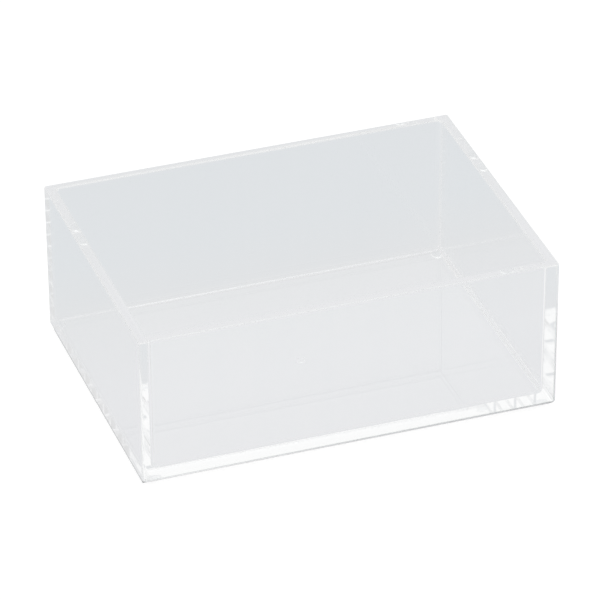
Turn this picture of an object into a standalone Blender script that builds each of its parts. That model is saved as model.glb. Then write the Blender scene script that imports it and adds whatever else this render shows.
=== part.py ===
"""Clear open-topped storage case: one moulded tray that stands on four small round feet.

Metres, +Z up. The origin is the centre of the footprint, on the surface that the case stands on.
+X runs along the long side, and the near long side is at -Y.
"""
import math

import bmesh
import bpy

# Driving dimensions of the tray
CASE_LENGTH = 0.1200
CASE_WIDTH = 0.0874
BODY_HEIGHT = 0.0450
WALL = 0.0030
FLOOR = 0.0028
OUTER_DRAFT = math.radians(0.3)
CAVITY_DRAFT = math.radians(0.45)

# Radii of the tray's rounded edges
RIM_RADIUS = 0.0005
CORNER_RADIUS = 0.0008
BASE_RADIUS = 0.0010
CAVITY_CORNER_RADIUS = 0.0012
CAVITY_FLOOR_RADIUS = 0.0015

# Round mark that the moulding gate leaves in the middle of the underside
GATE_DIAMETER = 0.0024
GATE_HEIGHT = 0.0004
GATE_EDGE_RADIUS = 0.00025

# Feet
FOOT_DIAMETER = 0.0044
FOOT_STANDOFF = 0.0010
FOOT_EDGE_RADIUS = 0.0004
FOOT_INSET = 0.0038

# Clearance between pieces that touch, and the overrun of every tool solid
SEAT_GAP = 0.0003
OVERRUN = 0.0010

# Steps of the rounded edges and of a full circle
FILLET_STEPS = 6
DISC_FILLET_STEPS = 4
CIRCLE_STEPS = 48

# Faces that meet at more than this angle make a crisp edge
CRISP_ANGLE = math.radians(30)

# Heights that follow from the driving dimensions
UNDERSIDE_Z = FOOT_STANDOFF
FLOOR_Z = UNDERSIDE_Z + FLOOR
RIM_Z = UNDERSIDE_Z + BODY_HEIGHT

# The underside is smaller than the rim by the draft of the outer walls
OUTER_DRAW = BODY_HEIGHT * math.tan(OUTER_DRAFT)
UNDERSIDE_LENGTH = CASE_LENGTH - 2 * OUTER_DRAW
UNDERSIDE_WIDTH = CASE_WIDTH - 2 * OUTER_DRAW

# How far each foot's centre lies from the middle of the case
FOOT_X = UNDERSIDE_LENGTH / 2 - FOOT_INSET
FOOT_Y = UNDERSIDE_WIDTH / 2 - FOOT_INSET


def clear_objects():
    """Start from an empty scene."""
    for item in list(bpy.data.objects):
        bpy.data.objects.remove(item)


def make_collection(name):
    """A collection linked to the scene."""
    collection = bpy.data.collections.new(name)
    bpy.context.scene.collection.children.link(collection)
    return collection


def clear_plastic(name, colour, roughness, ior):
    """Clear plastic: its colour, how polished it is and how much it bends light."""
    material = bpy.data.materials.new(name)
    material.use_nodes = True
    shader = material.node_tree.nodes["Principled BSDF"]
    shader.inputs["Base Color"].default_value = (*colour, 1)
    shader.inputs["Roughness"].default_value = roughness
    shader.inputs["Metallic"].default_value = 0
    shader.inputs["IOR"].default_value = ior
    shader.inputs["Transmission Weight"].default_value = 1
    return material


def add_object(name, shape, collection, material=None):
    """Turn a bmesh into a named object in a collection."""
    mesh = bpy.data.meshes.new(name)
    shape.to_mesh(mesh)
    shape.free()
    if material:
        mesh.materials.append(material)
    item = bpy.data.objects.new(name, mesh)
    collection.objects.link(item)
    return item


def draw_in(shape, verts, length, width, amount):
    """Move a level rectangle of corners towards the middle by the same amount on each side."""
    factors = (1 - 2 * amount / length, 1 - 2 * amount / width, 1)
    bmesh.ops.scale(shape, vec=factors, verts=verts)


def tray_block():
    """The sharp-edged tray: a drafted block whose top is inset by the wall and pushed down to the floor."""
    shape = bmesh.new()
    bmesh.ops.create_cube(shape, size=1)
    bmesh.ops.scale(shape, vec=(CASE_LENGTH, CASE_WIDTH, BODY_HEIGHT), verts=shape.verts)
    bmesh.ops.translate(shape, vec=(0, 0, UNDERSIDE_Z + BODY_HEIGHT / 2), verts=shape.verts)
    middle_z = (UNDERSIDE_Z + RIM_Z) / 2
    underside = [vert for vert in shape.verts if vert.co.z < middle_z]
    draw_in(shape, underside, CASE_LENGTH, CASE_WIDTH, OUTER_DRAW)
    top = max(shape.faces, key=lambda face: face.calc_center_median().z)
    bmesh.ops.inset_region(shape, faces=[top], thickness=WALL, use_even_offset=True)
    floor = bmesh.ops.extrude_discrete_faces(shape, faces=[top])["faces"][0]
    depth = RIM_Z - FLOOR_Z
    bmesh.ops.translate(shape, vec=(0, 0, -depth), verts=floor.verts)
    draw_in(shape, floor.verts, CASE_LENGTH - 2 * WALL, CASE_WIDTH - 2 * WALL, depth * math.tan(CAVITY_DRAFT))
    return shape


def edge_radius(edge):
    """The rounding that an edge of the sharp tray gets, from the levels that it joins."""
    levels = {"underside": UNDERSIDE_Z, "floor": FLOOR_Z, "rim": RIM_Z}
    ends = []
    for vert in edge.verts:
        ends.append(min(levels, key=lambda level: abs(levels[level] - vert.co.z)))
    radii = {
        ("underside", "underside"): BASE_RADIUS,
        ("floor", "floor"): CAVITY_FLOOR_RADIUS,
        ("rim", "rim"): RIM_RADIUS,
        ("rim", "underside"): CORNER_RADIUS,
        ("floor", "rim"): CAVITY_CORNER_RADIUS,
    }
    return radii[tuple(sorted(ends))]


def round_edges(item, radii, steps):
    """Round the edges with one weighted Bevel, so that edges that meet keep their own radii."""
    widest = max(radii.values())
    weights = item.data.attributes.new("bevel_weight_edge", "FLOAT", "EDGE")
    for index, radius in radii.items():
        weights.data[index].value = radius / widest
    bevel = item.modifiers.new("rounded edges", "BEVEL")
    bevel.limit_method = "WEIGHT"
    bevel.offset_type = "OFFSET"
    bevel.width = widest
    bevel.segments = steps
    bevel.use_clamp_overlap = False
    bevel.harden_normals = True


def disc(radius, bottom_z, top_z, rounding):
    """An upright disc with a rounded lower edge."""
    shape = bmesh.new()
    bmesh.ops.create_cone(
        shape, cap_ends=True, segments=CIRCLE_STEPS, radius1=radius, radius2=radius, depth=top_z - bottom_z
    )
    bmesh.ops.translate(shape, vec=(0, 0, (bottom_z + top_z) / 2), verts=shape.verts)
    middle_z = (bottom_z + top_z) / 2
    lower = [edge for edge in shape.edges if all(vert.co.z < middle_z for vert in edge.verts)]
    bmesh.ops.bevel(
        shape,
        geom=lower,
        offset=rounding,
        affect="EDGES",
        segments=DISC_FILLET_STEPS,
        profile=0.5,
        material=-1,
    )
    return shape


def shade(item):
    """Shade the rounded edges smooth and keep the crisp ones."""
    item.data.shade_smooth()
    item.data.set_sharp_from_angle(angle=CRISP_ANGLE)


def make_tray(collection, tools, material):
    """The moulded tray, with its rounded edges and the gate mark under its floor."""
    shape = tray_block()
    shape.edges.index_update()
    radii = {}
    for edge in shape.edges:
        if edge.calc_face_angle() > CRISP_ANGLE:
            radii[edge.index] = edge_radius(edge)
    tray = add_object("case_body", shape, collection, material)
    shade(tray)
    round_edges(tray, radii, FILLET_STEPS)

    gate_bottom = UNDERSIDE_Z - GATE_HEIGHT
    gate_top = UNDERSIDE_Z + OVERRUN
    mark = disc(GATE_DIAMETER / 2, gate_bottom, gate_top, GATE_EDGE_RADIUS)
    gate = add_object("gate_mark_tool", mark, tools)
    gate.hide_render = True
    gate.display_type = "WIRE"
    join = tray.modifiers.new("gate mark", "BOOLEAN")
    join.operation = "UNION"
    join.solver = "EXACT"
    join.object = gate
    return tray


def make_feet(collection, material):
    """Four clear round feet, one in from each corner of the underside."""
    shape = disc(FOOT_DIAMETER / 2, 0, FOOT_STANDOFF - SEAT_GAP, FOOT_EDGE_RADIUS)
    first = add_object("foot_front_left", shape, collection, material)
    shade(first)
    first.location = (-FOOT_X, -FOOT_Y, 0)
    places = {
        "foot_front_right": (FOOT_X, -FOOT_Y, 0),
        "foot_back_left": (-FOOT_X, FOOT_Y, 0),
        "foot_back_right": (FOOT_X, FOOT_Y, 0),
    }
    for name, place in places.items():
        foot = bpy.data.objects.new(name, first.data)
        foot.location = place
        collection.objects.link(foot)


def main():
    clear_objects()
    parts = make_collection("clear_storage_case")
    tools = make_collection("tool_solids")
    styrene = clear_plastic("clear_styrene", (0.93, 0.96, 0.97), 0.02, 1.59)
    bumper = clear_plastic("clear_bumper", (0.94, 0.96, 0.96), 0.08, 1.5)
    make_tray(parts, tools, styrene)
    make_feet(parts, bumper)


main()
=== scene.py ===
"""Looks of the clear storage case: a polished clear tray on four clear feet, on a pale table.

Metres, +Z up, in the frame of the solids: the origin is the centre of the footprint on the table,
+X runs along the long side and the near long side is at -Y.
"""
import math

import bmesh
import bpy
from mathutils import Matrix, Vector


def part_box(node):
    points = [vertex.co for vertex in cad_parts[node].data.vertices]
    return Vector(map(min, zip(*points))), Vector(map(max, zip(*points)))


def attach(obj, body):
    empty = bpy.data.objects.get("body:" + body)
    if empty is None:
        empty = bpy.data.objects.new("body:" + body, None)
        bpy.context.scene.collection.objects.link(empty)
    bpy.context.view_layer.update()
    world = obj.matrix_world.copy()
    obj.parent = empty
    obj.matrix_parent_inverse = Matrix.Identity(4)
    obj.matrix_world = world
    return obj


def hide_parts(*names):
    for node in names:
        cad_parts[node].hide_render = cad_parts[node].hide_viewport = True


MM = 0.001

# Bounces that light may make inside the clear walls
LIGHT_BOUNCES = 400

# Sockets of a Mix node that mixes colours
MIX_FIRST = 6
MIX_SECOND = 7
MIX_RESULT = 2

# Tray
WALL = 3.0 * MM
FLOOR = 2.8 * MM
OUTER_DRAFT = math.radians(0.3)
CAVITY_DRAFT = math.radians(0.45)
RIM_RADIUS = 0.5 * MM
CORNER_RADIUS = 0.8 * MM
BASE_RADIUS = 1.0 * MM
CAVITY_CORNER_RADIUS = 1.2 * MM
CAVITY_FLOOR_RADIUS = 1.5 * MM
TRAY_FILLET_STEPS = 12

# Gate mark in the middle of the underside
GATE_DIAMETER = 2.4 * MM
GATE_HEIGHT = 0.4 * MM
GATE_EDGE_RADIUS = 0.38 * MM
GATE_STEPS = 48
UNDERSIDE_BORDER = 8 * MM

# Feet, each pressed into the underside by a hair so that no air is left between them
FOOT_PRESSED_IN = 0.06 * MM
FOOT_EDGE_RADIUS = 1.0 * MM
FOOT_STEPS = 64
FOOT_FILLET_STEPS = 12

# Faces that meet at more than this angle make a crisp edge
CRISP_ANGLE = math.radians(30)

# Camera: a long lens, turned to the left of the near long side and looking down
CAMERA_AZIMUTH = math.radians(-18.90)
CAMERA_ELEVATION = math.radians(31.79)
CAMERA_ROLL = math.radians(-0.41)
CAMERA_DISTANCE = 1.4394
CAMERA_LENS_MM = 311.63
CAMERA_SENSOR_MM = 36
CAMERA_MOVED_RIGHT = 0.30 * MM
CAMERA_MOVED_UP = -1.61 * MM
CAMERA_CLIP_START = 10 * MM

# Marks of the moulding: the noise of the ripples and of the flow lines, how high the flow lines stand
# beside the ripples, and the noise values at which the haze and the tint start and are full
RIPPLE_DETAIL = 1.5
FLOW_DETAIL = 2
FLOW_HEIGHT_SHARE = 0.15
HAZE_START = 0.5
HAZE_FULL = 0.75
TINT_START = 0.3
TINT_FULL = 0.7

# Tint of the lamps' light that goes through the plastics
LAMP_TINT = (0.97, 0.97, 0.97)

# Worn and shaded edges of the tray: a fine scuffing along the base and up the corners roughens them,
# and a grey painted shade darkens them. Both start and are full at these distances from where the sharp
# edge would be, in edge radii.
WEAR_AND_SHADE_START = 1.35
WEAR_AND_SHADE_FULL = 0.6
SCUFF_ROUGHNESS = 0.15
# Grey of the painted shade that darkens the rounded edges' outline
PAINTED_EDGE_SHADE_COLOUR = (0.52, 0.53, 0.54)

# Along the long sides and on the corners the scuffing and the painted shade fade in from the left end up
# to this share of the right half, and up the corners they fade out between these shares of the height
WEAR_AND_SHADE_FULL_SHARE = 0.5
WEAR_AND_SHADE_TOP_START_SHARE = 0.62
WEAR_AND_SHADE_TOP_END_SHARE = 0.76

# Table, which the lamps light a little and a glow of its own tops up to white for the camera, but for
# the thin shade under the case
TABLE_SIZE = 6.0
TABLE_CLEARANCE = 0.05 * MM
TABLE_LIT = 0.25
TABLE_TOP_UP = 0.84
SHADE_COLOUR = (0.30, 0.30, 0.31)
SHADE_EDGE = 0.3 * MM
SHADE_IN_FROM_ENDS = 0.52 * MM
SHADE_IN_FROM_LONG_SIDES = 1.9 * MM

# Pale sheet, which rays that the plastic bends or reflects see in place of the white table: its
# colour at these places along Y
SHEET_NEAR = -300 * MM
SHEET_FAR = 300 * MM
SHEET_STOPS = [
    (SHEET_NEAR, (0.86, 0.87, 0.88)),
    (-110 * MM, (0.96, 0.97, 0.98)),
    (-46 * MM, (0.91, 0.91, 0.92)),
    (-42 * MM, (0.78, 0.783, 0.80)),
    (0 * MM, (0.79, 0.794, 0.813)),
    (44 * MM, (0.767, 0.777, 0.79)),
    (75 * MM, (0.75, 0.774, 0.795)),
    (SHEET_FAR, (0.72, 0.745, 0.77)),
]

# Studio: soft light from above and all round, as the brightness at these heights of the sky, where 0
# is level and 1 straight up, behind the case and in front of it. The one turns into the other between
# this reach to the front and the same reach to the back.
STUDIO_STRENGTH = 1.3
STUDIO_REACH = 0.9
BEHIND_STOPS = [
    (0.0, 1.0),
    (0.29, 1.05),
    (0.33, 0.3),
    (0.42, 0.5),
    (0.48, 0.9),
    (0.53, 1.0),
    (0.78, 1.15),
    (1.0, 1.3),
]
FRONT_STOPS = [
    (0.0, 0.6),
    (0.2, 0.88),
    (0.36, 0.57),
    (0.46, 1.1),
    (0.5, 0.75),
    (0.6, 0.69),
    (0.72, 1.08),
    (0.86, 0.44),
    (1.0, 1.3),
]


def add_piece(name, shape, material, slot, *nodes):
    """A finished mesh as a piece of the object that stands for its solids."""
    mesh = bpy.data.meshes.new(name)
    shape.to_mesh(mesh)
    shape.free()
    mesh.materials.append(material)
    piece = bpy.data.objects.new(name, mesh)
    bpy.context.scene.collection.objects.link(piece)
    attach(piece, "root")
    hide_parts(*nodes)
    return piece


def draw_in(shape, verts, amount):
    """Move a level rectangle of corners towards the middle by the same amount on each side."""
    length = max(vert.co.x for vert in verts) - min(vert.co.x for vert in verts)
    width = max(vert.co.y for vert in verts) - min(vert.co.y for vert in verts)
    bmesh.ops.scale(shape, vec=(1 - 2 * amount / length, 1 - 2 * amount / width, 1), verts=verts)


def end_face(shape, side):
    """The lowest face for a side of -1, or the highest for 1."""
    return max(shape.faces, key=lambda face: side * face.calc_center_median().z)


def add_gate_mark(shape, underside_z):
    """Let a round mark stand off the middle of the underside."""
    underside = end_face(shape, -1)
    bmesh.ops.inset_region(shape, faces=[underside], thickness=UNDERSIDE_BORDER, use_even_offset=True)
    border = list(underside.edges)
    bmesh.ops.delete(shape, geom=[underside], context="FACES_ONLY")
    place = Matrix.Translation((0, 0, underside_z))
    made = bmesh.ops.create_circle(shape, segments=GATE_STEPS, radius=GATE_DIAMETER / 2, matrix=place)
    ring = list({edge for vert in made["verts"] for edge in vert.link_edges})
    bmesh.ops.triangle_fill(shape, edges=border + ring, use_beauty=True)
    lower = bmesh.ops.extrude_edge_only(shape, edges=ring)["geom"]
    lower_verts = [item for item in lower if isinstance(item, bmesh.types.BMVert)]
    lower_edges = [item for item in lower if isinstance(item, bmesh.types.BMEdge)]
    bmesh.ops.translate(shape, vec=(0, 0, -GATE_HEIGHT), verts=lower_verts)
    bmesh.ops.contextual_create(shape, geom=lower_edges)
    bmesh.ops.recalc_face_normals(shape, faces=shape.faces)


def edge_kind(edge, levels):
    """The levels that an edge of the sharp tray joins, as a sorted pair of names."""
    ends = [min(levels, key=lambda level: abs(levels[level] - vert.co.z)) for vert in edge.verts]
    return tuple(sorted(ends))


def make_tray(material):
    """The moulding: a drafted block whose top is inset and pushed down, with its edges rounded."""
    low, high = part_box("case_body")
    rim_z = high.z
    underside_z = low.z + GATE_HEIGHT
    floor_z = underside_z + FLOOR
    height = rim_z - underside_z
    depth = rim_z - floor_z

    shape = bmesh.new()
    bmesh.ops.create_cube(shape, size=1)
    bmesh.ops.scale(shape, vec=(high.x - low.x, high.y - low.y, height), verts=shape.verts)
    bmesh.ops.translate(shape, vec=(0, 0, underside_z + height / 2), verts=shape.verts)
    draw_in(shape, end_face(shape, -1).verts, height * math.tan(OUTER_DRAFT))
    top = end_face(shape, 1)
    bmesh.ops.inset_region(shape, faces=[top], thickness=WALL, use_even_offset=True)
    floor = bmesh.ops.extrude_discrete_faces(shape, faces=[top])["faces"][0]
    bmesh.ops.translate(shape, vec=(0, 0, -depth), verts=floor.verts)
    draw_in(shape, floor.verts, depth * math.tan(CAVITY_DRAFT))

    add_gate_mark(shape, underside_z)

    levels = {"gate": low.z, "underside": underside_z, "floor": floor_z, "rim": rim_z}
    radii = {
        ("gate", "gate"): GATE_EDGE_RADIUS,
        ("underside", "underside"): BASE_RADIUS,
        ("floor", "floor"): CAVITY_FLOOR_RADIUS,
        ("rim", "rim"): RIM_RADIUS,
        ("rim", "underside"): CORNER_RADIUS,
        ("floor", "rim"): CAVITY_CORNER_RADIUS,
    }
    widest = max(radii.values())
    weight = shape.edges.layers.float.new("bevel_weight_edge")
    for edge in shape.edges:
        edge.smooth = edge.calc_face_angle() < CRISP_ANGLE
        # The ring where the gate mark meets the underside stays sharp
        at_gate = all(vert.co.xy.length < GATE_DIAMETER and vert.co.z > low.z for vert in edge.verts)
        if not edge.smooth and not at_gate:
            edge[weight] = radii[edge_kind(edge, levels)] / widest
    for face in shape.faces:
        face.smooth = True

    tray = add_piece("tray", shape, material, "clear_styrene", "case_body")
    bevel = tray.modifiers.new("rounded edges", "BEVEL")
    bevel.limit_method = "WEIGHT"
    bevel.offset_type = "OFFSET"
    bevel.width = widest
    bevel.segments = TRAY_FILLET_STEPS
    bevel.use_clamp_overlap = False
    bevel.harden_normals = True


def make_foot(node, material, underside_z):
    """One round foot: a disc with a rounded lower edge, stuck to the underside."""
    low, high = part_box(node)
    middle = (low + high) / 2
    radius = (high.x - low.x) / 2
    height = underside_z + FOOT_PRESSED_IN - low.z
    shape = bmesh.new()
    bmesh.ops.create_cone(
        shape,
        cap_ends=True,
        segments=FOOT_STEPS,
        radius1=radius,
        radius2=radius,
        depth=height,
        matrix=Matrix.Translation((middle.x, middle.y, low.z + height / 2)),
    )
    bmesh.ops.bevel(
        shape,
        geom=list(end_face(shape, -1).edges),
        offset=FOOT_EDGE_RADIUS,
        affect="EDGES",
        segments=FOOT_FILLET_STEPS,
        profile=0.5,
        material=-1,
    )
    foot = add_piece("soft_" + node, shape, material, "clear_bumper", node)
    foot.data.shade_smooth()
    foot.data.set_sharp_from_angle(angle=CRISP_ANGLE)


def new_node(tree, kind, **values):
    """A shader node with its properties set."""
    node = tree.nodes.new(kind)
    for name, value in values.items():
        setattr(node, name, value)
    return node


def maths(tree, operation, *values):
    """The output of a Math node, whose values are numbers or other sockets."""
    node = new_node(tree, "ShaderNodeMath", operation=operation)
    for socket, value in zip(node.inputs, values):
        if isinstance(value, bpy.types.NodeSocket):
            tree.links.new(value, socket)
        else:
            socket.default_value = value
    return node.outputs["Value"]


def fade(tree, value, start, end):
    """0 at the start, 1 at the end and smooth between them."""
    node = new_node(tree, "ShaderNodeMapRange", interpolation_type="SMOOTHSTEP")
    node.inputs["From Min"].default_value = start
    node.inputs["From Max"].default_value = end
    tree.links.new(value, node.inputs["Value"])
    return node.outputs["Result"]


def blend(tree, share, first, second):
    """The colour between two colours, each a socket or a plain colour."""
    node = new_node(tree, "ShaderNodeMix", data_type="RGBA")
    tree.links.new(share, node.inputs["Factor"])
    for socket, colour in ((node.inputs[MIX_FIRST], first), (node.inputs[MIX_SECOND], second)):
        if isinstance(colour, bpy.types.NodeSocket):
            tree.links.new(colour, socket)
        else:
            socket.default_value = (*colour, 1)
    return node.outputs[MIX_RESULT]


def make_moulded_surface():
    """Marks that moulding leaves in clear plastic, as a group that both plastics use.

    Slow ripples and faint lines that run out from the gate stand in the height, and a light haze and
    a change of tint follow them.
    """
    tree = bpy.data.node_groups.new("moulded_surface", "ShaderNodeTree")
    interface = tree.interface
    interface.new_socket("Vector", in_out="INPUT", socket_type="NodeSocketVector")
    for name in ("Ripple Scale", "Flow Scale", "Polish", "Haze"):
        interface.new_socket(name, in_out="INPUT", socket_type="NodeSocketFloat")
    for name in ("Clear", "Tint"):
        interface.new_socket(name, in_out="INPUT", socket_type="NodeSocketColor")
    interface.new_socket("Color", in_out="OUTPUT", socket_type="NodeSocketColor")
    interface.new_socket("Roughness", in_out="OUTPUT", socket_type="NodeSocketFloat")
    interface.new_socket("Height", in_out="OUTPUT", socket_type="NodeSocketFloat")
    given = new_node(tree, "NodeGroupInput")
    result = new_node(tree, "NodeGroupOutput")

    ripple = new_node(tree, "ShaderNodeTexNoise")
    ripple.inputs["Detail"].default_value = RIPPLE_DETAIL
    tree.links.new(given.outputs["Vector"], ripple.inputs["Vector"])
    tree.links.new(given.outputs["Ripple Scale"], ripple.inputs["Scale"])

    # This noise reads only the level direction from the middle, so it draws lines that run out from there
    level = new_node(tree, "ShaderNodeVectorMath", operation="MULTIPLY")
    level.inputs[1].default_value = (1, 1, 0)
    outwards = new_node(tree, "ShaderNodeVectorMath", operation="NORMALIZE")
    flow = new_node(tree, "ShaderNodeTexNoise")
    flow.inputs["Detail"].default_value = FLOW_DETAIL
    tree.links.new(given.outputs["Vector"], level.inputs[0])
    tree.links.new(level.outputs["Vector"], outwards.inputs[0])
    tree.links.new(outwards.outputs["Vector"], flow.inputs["Vector"])
    tree.links.new(given.outputs["Flow Scale"], flow.inputs["Scale"])

    height = maths(tree, "MULTIPLY_ADD", flow.outputs["Fac"], FLOW_HEIGHT_SHARE, ripple.outputs["Fac"])
    haze = fade(tree, ripple.outputs["Fac"], HAZE_START, HAZE_FULL)
    rough = maths(tree, "MULTIPLY_ADD", haze, given.outputs["Haze"], given.outputs["Polish"])
    share = fade(tree, flow.outputs["Fac"], TINT_START, TINT_FULL)
    colour = blend(tree, share, given.outputs["Clear"], given.outputs["Tint"])
    tree.links.new(colour, result.inputs["Color"])
    tree.links.new(rough, result.inputs["Roughness"])
    tree.links.new(height, result.inputs["Height"])
    return tree


def wear_and_shade_mask(tree, vector):
    """1 on the worn outside of the base edges and corners, falling to 0 beside them.

    It also marks where a grey painted shade darkens these edges. The corners and the long sides' base
    edges fade to the left, and the corners fade upwards too.
    """
    low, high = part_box("case_body")
    split = new_node(tree, "ShaderNodeSeparateXYZ")
    tree.links.new(vector, split.inputs["Vector"])
    below_rim = maths(tree, "SUBTRACT", high.z, split.outputs["Z"])
    depths = {"Z": maths(tree, "SUBTRACT", split.outputs["Z"], low.z + GATE_HEIGHT)}
    for axis, reach in (("X", high.x), ("Y", high.y)):
        out = maths(tree, "ABSOLUTE", split.outputs[axis])
        drawn_out = maths(tree, "MULTIPLY_ADD", below_rim, math.tan(OUTER_DRAFT), out)
        depths[axis] = maths(tree, "SUBTRACT", reach, drawn_out)

    masks = []
    edges = (("X", "Z", BASE_RADIUS), ("Y", "Z", BASE_RADIUS), ("X", "Y", CORNER_RADIUS))
    for first, second, radius in edges:
        square = maths(tree, "MULTIPLY", depths[second], depths[second])
        squares = maths(tree, "MULTIPLY_ADD", depths[first], depths[first], square)
        distance = maths(tree, "SQRT", squares)
        masks.append(fade(tree, distance, WEAR_AND_SHADE_START * radius, WEAR_AND_SHADE_FULL * radius))
    ends, sides, corners = masks
    top_start = low.z + WEAR_AND_SHADE_TOP_START_SHARE * (high.z - low.z)
    top_end = low.z + WEAR_AND_SHADE_TOP_END_SHARE * (high.z - low.z)
    corners = maths(tree, "MULTIPLY", corners, fade(tree, split.outputs["Z"], top_end, top_start))
    from_left = fade(tree, split.outputs["X"], -high.x, WEAR_AND_SHADE_FULL_SHARE * high.x)
    faded = maths(tree, "MULTIPLY", maths(tree, "MAXIMUM", sides, corners), from_left)
    everywhere = maths(tree, "MAXIMUM", ends, faded)
    side = new_node(tree, "ShaderNodeNewGeometry")
    outside = maths(tree, "SUBTRACT", 1, side.outputs["Backfacing"])
    return maths(tree, "MULTIPLY", everywhere, outside)


def make_clear_plastic(name, marks, looks, ior, ripple_depth, worn_and_shaded=False):
    """Clear plastic with moulding marks, which lets the lamps through to what is behind it."""
    material = bpy.data.materials.new(name)
    material.use_nodes = True
    tree = material.node_tree
    shader = tree.nodes["Principled BSDF"]
    shader.inputs["Metallic"].default_value = 0
    shader.inputs["IOR"].default_value = ior
    shader.inputs["Transmission Weight"].default_value = 1

    place = new_node(tree, "ShaderNodeTexCoord")
    surface = new_node(tree, "ShaderNodeGroup", node_tree=marks)
    tree.links.new(place.outputs["Object"], surface.inputs["Vector"])
    for label, value in looks.items():
        surface.inputs[label].default_value = value
    colour = surface.outputs["Color"]
    rough = surface.outputs["Roughness"]
    # Worn edges: rougher, and darkened with a grey painted shade
    if worn_and_shaded:
        wear_and_shade = wear_and_shade_mask(tree, place.outputs["Object"])
        colour = blend(tree, wear_and_shade, colour, PAINTED_EDGE_SHADE_COLOUR)
        rough = maths(tree, "MULTIPLY_ADD", wear_and_shade, SCUFF_ROUGHNESS, rough)
    tree.links.new(colour, shader.inputs["Base Color"])
    tree.links.new(rough, shader.inputs["Roughness"])
    bump = new_node(tree, "ShaderNodeBump")
    bump.inputs["Strength"].default_value = 1
    bump.inputs["Distance"].default_value = ripple_depth
    tree.links.new(surface.outputs["Height"], bump.inputs["Height"])
    tree.links.new(bump.outputs["Normal"], shader.inputs["Normal"])

    path = new_node(tree, "ShaderNodeLightPath")
    clear = new_node(tree, "ShaderNodeBsdfTransparent")
    clear.inputs["Color"].default_value = (*LAMP_TINT, 1)
    mix = new_node(tree, "ShaderNodeMixShader")
    tree.links.new(path.outputs["Is Shadow Ray"], mix.inputs["Fac"])
    tree.links.new(shader.outputs["BSDF"], mix.inputs[1])
    tree.links.new(clear.outputs["BSDF"], mix.inputs[2])
    tree.links.new(mix.outputs["Shader"], tree.nodes["Material Output"].inputs["Surface"])
    return material


def ramp_node(tree, stops):
    """A colour ramp with the given positions and colours."""
    node = new_node(tree, "ShaderNodeValToRGB")
    elements = node.color_ramp.elements
    elements[0].position, elements[0].color = stops[0][0], (*stops[0][1], 1)
    elements[1].position, elements[1].color = stops[-1][0], (*stops[-1][1], 1)
    for position, colour in stops[1:-1]:
        elements.new(position).color = (*colour, 1)
    return node


def make_table():
    """The table: white round the case's shade, and a pale sheet to bent or reflected rays."""
    bpy.ops.mesh.primitive_plane_add(size=TABLE_SIZE, location=(0, 0, -TABLE_CLEARANCE))
    table = bpy.context.object
    table.name = "table"
    material = bpy.data.materials.new("pale_table")
    material.use_nodes = True
    tree = material.node_tree
    tree.nodes.clear()

    lit = new_node(tree, "ShaderNodeBsdfDiffuse")
    lit.inputs["Color"].default_value = (TABLE_LIT, TABLE_LIT, TABLE_LIT, 1)
    place = new_node(tree, "ShaderNodeTexCoord")
    split = new_node(tree, "ShaderNodeSeparateXYZ")
    tree.links.new(place.outputs["Object"], split.inputs["Vector"])

    low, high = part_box("case_body")
    drawn_in = (high.z - low.z) * math.tan(OUTER_DRAFT)
    reaches = {
        "X": high.x - drawn_in - SHADE_IN_FROM_ENDS,
        "Y": high.y - drawn_in - SHADE_IN_FROM_LONG_SIDES,
    }
    depths = []
    for axis, reach in reaches.items():
        depths.append(maths(tree, "SUBTRACT", reach, maths(tree, "ABSOLUTE", split.outputs[axis])))
    inside = maths(tree, "MINIMUM", *depths)
    shade = fade(tree, inside, 0, SHADE_EDGE)
    top_up = new_node(tree, "ShaderNodeEmission")
    top_up.inputs["Strength"].default_value = TABLE_TOP_UP
    tree.links.new(blend(tree, shade, (1, 1, 1), SHADE_COLOUR), top_up.inputs["Color"])
    seen = new_node(tree, "ShaderNodeAddShader")
    tree.links.new(lit.outputs["BSDF"], seen.inputs[0])
    tree.links.new(top_up.outputs["Emission"], seen.inputs[1])

    depth = new_node(tree, "ShaderNodeMapRange")
    depth.inputs["From Min"].default_value = SHEET_NEAR
    depth.inputs["From Max"].default_value = SHEET_FAR
    span = SHEET_FAR - SHEET_NEAR
    ramp = ramp_node(tree, [((y - SHEET_NEAR) / span, colour) for y, colour in SHEET_STOPS])
    sheet = new_node(tree, "ShaderNodeEmission")
    sheet.inputs["Strength"].default_value = 1
    tree.links.new(split.outputs["Y"], depth.inputs["Value"])
    tree.links.new(depth.outputs["Result"], ramp.inputs["Fac"])
    tree.links.new(ramp.outputs["Color"], sheet.inputs["Color"])

    path = new_node(tree, "ShaderNodeLightPath")
    bent = maths(tree, "MAXIMUM", path.outputs["Is Glossy Ray"], path.outputs["Is Transmission Ray"])
    through = new_node(tree, "ShaderNodeMixShader")
    mix = new_node(tree, "ShaderNodeMixShader")
    output = new_node(tree, "ShaderNodeOutputMaterial")
    tree.links.new(bent, through.inputs["Fac"])
    tree.links.new(lit.outputs["BSDF"], through.inputs[1])
    tree.links.new(sheet.outputs["Emission"], through.inputs[2])
    tree.links.new(path.outputs["Is Camera Ray"], mix.inputs["Fac"])
    tree.links.new(through.outputs["Shader"], mix.inputs[1])
    tree.links.new(seen.outputs["Shader"], mix.inputs[2])
    tree.links.new(mix.outputs["Shader"], output.inputs["Surface"])
    table.data.materials.append(material)


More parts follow.
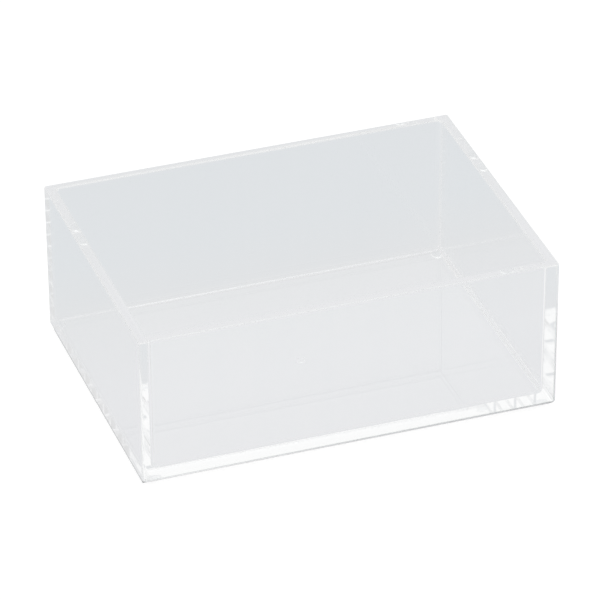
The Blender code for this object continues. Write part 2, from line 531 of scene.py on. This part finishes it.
def make_studio():
    """Soft light from above and all round: one brightness over height behind the case and one in front."""
    world = bpy.data.worlds.new("studio")
    bpy.context.scene.world = world
    world.use_nodes = True
    tree = world.node_tree
    background = tree.nodes["Background"]
    place = new_node(tree, "ShaderNodeTexCoord")
    split = new_node(tree, "ShaderNodeSeparateXYZ")
    side = new_node(tree, "ShaderNodeMapRange")
    side.inputs["From Min"].default_value = -STUDIO_REACH
    side.inputs["From Max"].default_value = STUDIO_REACH
    tree.links.new(place.outputs["Generated"], split.inputs["Vector"])
    tree.links.new(split.outputs["Y"], side.inputs["Value"])
    skies = []
    for stops in (FRONT_STOPS, BEHIND_STOPS):
        ramp = ramp_node(tree, [(height, [value / STUDIO_STRENGTH] * 3) for height, value in stops])
        tree.links.new(split.outputs["Z"], ramp.inputs["Fac"])
        skies.append(ramp.outputs["Color"])
    tree.links.new(blend(tree, side.outputs["Result"], *skies), background.inputs["Color"])
    background.inputs["Strength"].default_value = STUDIO_STRENGTH


def make_camera():
    """A long lens that sees the case as the photograph does."""
    low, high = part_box("case_body")
    middle = Vector((0, 0, (low.z + GATE_HEIGHT + high.z) / 2))
    level = math.cos(CAMERA_ELEVATION)
    back = Vector((
        math.sin(CAMERA_AZIMUTH) * level,
        -math.cos(CAMERA_AZIMUTH) * level,
        math.sin(CAMERA_ELEVATION),
    ))
    level_right = Vector((math.cos(CAMERA_AZIMUTH), math.sin(CAMERA_AZIMUTH), 0))
    right = Matrix.Rotation(CAMERA_ROLL, 3, back) @ level_right
    up = back.cross(right)
    data = bpy.data.cameras.new("camera")
    data.sensor_width = CAMERA_SENSOR_MM
    data.lens = CAMERA_LENS_MM
    data.clip_start = CAMERA_CLIP_START
    camera = bpy.data.objects.new("camera", data)
    bpy.context.scene.collection.objects.link(camera)
    camera.location = middle + back * CAMERA_DISTANCE + right * CAMERA_MOVED_RIGHT + up * CAMERA_MOVED_UP
    camera.rotation_euler = Matrix((right, up, back)).transposed().to_euler()
    bpy.context.scene.camera = camera


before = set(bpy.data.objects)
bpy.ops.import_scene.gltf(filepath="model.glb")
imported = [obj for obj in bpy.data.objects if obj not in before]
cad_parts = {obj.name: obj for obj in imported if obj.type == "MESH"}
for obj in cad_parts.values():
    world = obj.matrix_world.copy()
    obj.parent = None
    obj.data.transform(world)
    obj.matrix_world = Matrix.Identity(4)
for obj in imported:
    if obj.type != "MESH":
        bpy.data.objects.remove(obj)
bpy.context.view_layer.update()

scene = bpy.context.scene
scene.view_settings.view_transform = "Standard"
scene.cycles.max_bounces = LIGHT_BOUNCES
scene.cycles.transmission_bounces = LIGHT_BOUNCES
scene.cycles.glossy_bounces = LIGHT_BOUNCES

marks = make_moulded_surface()
styrene = make_clear_plastic(
    "clear_styrene",
    marks,
    {
        "Ripple Scale": 140,
        "Flow Scale": 9,
        "Polish": 0.0,
        "Haze": 0.012,
        "Clear": (0.99, 0.993, 0.993, 1),
        "Tint": (0.984, 0.989, 0.99, 1),
    },
    ior=1.59,
    ripple_depth=0.0025 * MM,
    worn_and_shaded=True,
)
bumper = make_clear_plastic(
    "clear_bumper",
    marks,
    {
        "Ripple Scale": 900,
        "Flow Scale": 9,
        "Polish": 0.02,
        "Haze": 0.05,
        "Clear": (0.985, 0.99, 0.99, 1),
        "Tint": (0.96, 0.97, 0.975, 1),
    },
    ior=1.5,
    ripple_depth=0.002 * MM,
)
make_tray(styrene)
underside_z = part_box("case_body")[0].z + GATE_HEIGHT
for node in ("foot_front_left", "foot_front_right", "foot_back_left", "foot_back_right"):
    make_foot(node, bumper, underside_z)
make_table()
make_studio()
make_camera()
